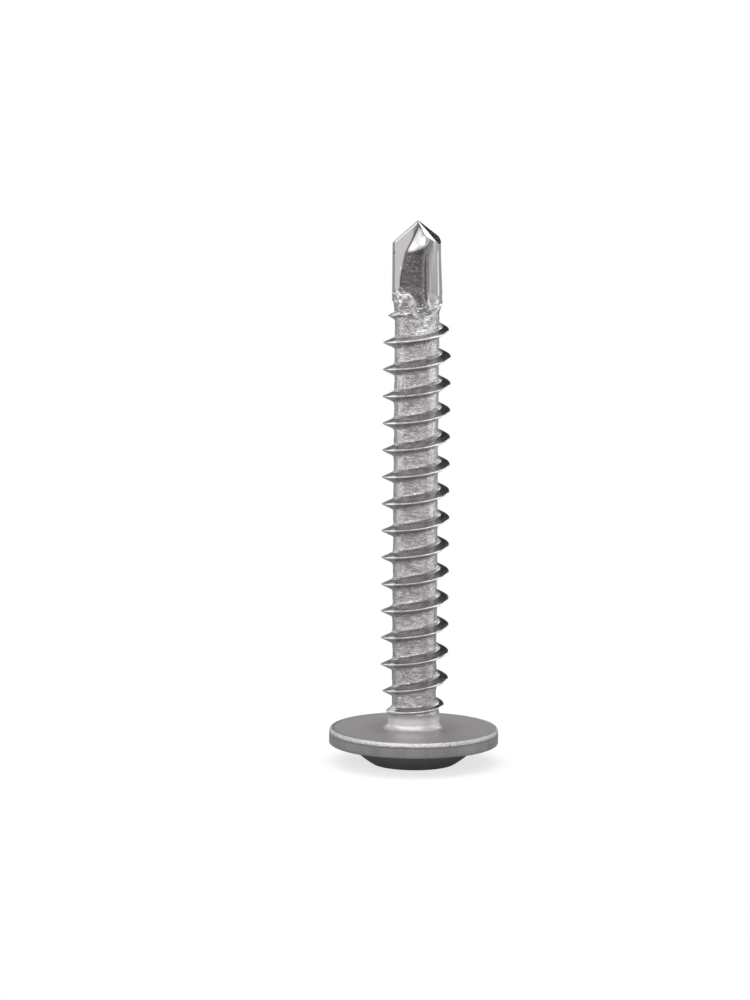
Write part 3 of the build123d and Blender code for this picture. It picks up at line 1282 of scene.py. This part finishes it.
@dataclass(frozen=True)
class Studio:
    """Pale floor, soft surroundings and the camera."""

    floor_radius: float = 0.045
    floor_corners: int = 128
    floor_drop: float = 0.00001
    floor_plain: Colour = (0.33, 0.33, 0.33, 1.0)
    floor_pale: Colour = (0.40, 0.40, 0.40, 1.0)
    floor_glow: float = 0.68
    distance: float = 0.470
    elevation: float = 9.35
    lens: float = 271.4
    aim: Direction = (-0.002528, 0.0, 0.01664)
    roll: float = 0.42
    base_light: float = 0.44
    overhead_light: float = 1.05
    front_light: float = 0.98
    back_shade: float = 0.03
    upright_shade: float = 0.95
    side_white: float = 0.7

    # Soft lamps round the screw, and grey flags that darken the level
    lamps = (
        SoftPatch((0.66, -0.73, -0.14), 0.950, 0.99, 0.5),
        SoftPatch((0.97, 0.10, -0.16), 0.870, 0.98, 1.9),
        SoftPatch((-0.95, 0.1, -0.16), 0.86, 0.97, 0.9),
        SoftPatch((0.57, 0.69, 0.46), 0.965, 0.988, 2.0),
        SoftPatch((-0.45, 0.78, 0.42), 0.90, 0.97, 0.8),
        SoftPatch((-0.80, -0.39, 0.46), 0.91, 0.97, 1.1),
    )
    flags = (
        SoftPatch((-0.206, 0.912, 0.354), 0.970, 0.985, 0.85),
        SoftPatch((-0.87, 0.48, -0.12), 0.85, 0.95, 0.15),
    )

    def camera(self) -> None:
        """Camera at the photograph's angle, rolled a little."""
        data = bpy.data.cameras.new("camera")
        data.lens = self.lens
        data.sensor_width = 36.0
        data.clip_start = 0.01
        data.clip_end = 10.0
        made = add_object("camera", data)
        elevation = math.radians(self.elevation)
        back = Vector((0, -math.cos(elevation), math.sin(elevation)))
        place = Matrix.Translation(Vector(self.aim) + back * self.distance)
        turn = (-back).to_track_quat("-Z", "Y").to_matrix().to_4x4()
        made.matrix_world = place @ turn @ Matrix.Rotation(math.radians(self.roll), 4, "Z")
        bpy.context.scene.camera = made

    def floor_material(self) -> bpy.types.Material:
        """Pale floor: white to the camera but for the screw's shadow, and plain grey to every other ray.

        Returns:
            The material.
        """
        made = bpy.data.materials.new("pale_floor")
        tree = cleared_tree(made)
        camera = add_node(tree, "ShaderNodeLightPath", {}, {}).outputs["Is Camera Ray"]
        plain = add_node(tree, "ShaderNodeBsdfDiffuse", {}, {"Color": self.floor_plain})
        pale = add_node(tree, "ShaderNodeBsdfDiffuse", {}, {"Color": self.floor_pale})
        glow = add_node(tree, "ShaderNodeEmission", {}, {"Color": (1, 1, 1, 1), "Strength": self.floor_glow})
        lit = add_node(tree, "ShaderNodeAddShader", {}, {0: pale.outputs[0], 1: glow.outputs[0]})
        values = {"Fac": camera, 1: plain.outputs[0], 2: lit.outputs[0]}
        both = add_node(tree, "ShaderNodeMixShader", {}, values)
        add_node(tree, "ShaderNodeOutputMaterial", {}, {"Surface": both.outputs[0]})
        return made

    def floor(self) -> None:
        """Round pale floor just under the crown land."""
        corners = self.floor_corners
        ring = on_circle(np.linspace(0, 2 * math.pi, corners, endpoint=False)) * self.floor_radius
        mesh = bpy.data.meshes.new("floor")
        mesh.from_pydata(np.column_stack((ring, np.zeros(corners))).tolist(), [], [range(corners)])
        mesh.materials.append(self.floor_material())
        made = add_object("floor", mesh)
        made.location = (0, 0, -self.floor_drop)

    def surroundings(self) -> None:
        """World: soft light from above and beside, grey flags behind, and white to the camera."""
        world = bpy.data.worlds.new("studio")
        bpy.context.scene.world = world
        tree = cleared_tree(world)
        where, x, y, z = coordinates(tree, "Generated")
        overhead = z.step(0.74, 0.90)
        front = y.step(-0.50, -0.85) * z.step(0.02, 0.14)
        behind = y.step(0.75, 0.95) * z.step(0.0, 0.1)
        level = self.base_light + overhead * self.overhead_light + front * self.front_light
        level = level - behind * self.back_shade
        for lamp in self.lamps:
            level = level + lamp.level(tree, where)
        for flag in self.flags:
            level = level * (1 - flag.level(tree, where))
        upright = y.step(0.3, 0.5) * x.step(0.05, 0.13) * x.step(0.47, 0.40) * z.step(0.0, 0.08)
        level = level * (1 - upright * z.step(0.86, 0.76) * self.upright_shade)

        path = add_node(tree, "ShaderNodeLightPath", {}, {})
        camera, glossy, clear = (Socket(tree, path.outputs[f"Is {kind} Ray"])
                                 for kind in ("Camera", "Glossy", "Transmission"))
        side = x.step(0.84, 0.96) * z.step(0.6, 0.3) * z.step(-0.7, -0.3) * self.side_white
        shown = (camera + clear + glossy * side).math("MINIMUM", 1.0)
        grey = add_node(tree, "ShaderNodeCombineXYZ", {}, {"X": level, "Y": level, "Z": level})
        colour = mix_colour(tree, shown, grey.outputs[0], (1, 1, 1, 1))
        background = add_node(tree, "ShaderNodeBackground", {}, {"Color": colour, "Strength": 1.0})
        add_node(tree, "ShaderNodeOutputWorld", {}, {"Surface": background.outputs[0]})


def main() -> None:
    """Build the screw and its studio."""
    logging.basicConfig(level=logging.INFO, format="%(message)s")
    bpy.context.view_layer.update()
    bpy.context.scene.view_settings.view_transform = "Standard"
    log.info("packed nodes: %d", len(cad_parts))

    head = Head()
    shank = Shank(head.height, head.neck_radius)
    skin = write_mesh("screw_skin", *Skin(head, shank).build())
    SkinPaints(skin, shank).write()
    skin.data.materials.append(RolledSteel(shank).material())
    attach(skin, "root")
    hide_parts("screw")
    triangles = sum(len(p.vertices) - 2 for p in skin.data.polygons)
    log.info("screw_skin: %d vertices, %d triangles", len(skin.data.vertices), triangles)

    studio = Studio()
    studio.floor()
    studio.surroundings()
    studio.camera()


if __name__ == "__main__":
    main()
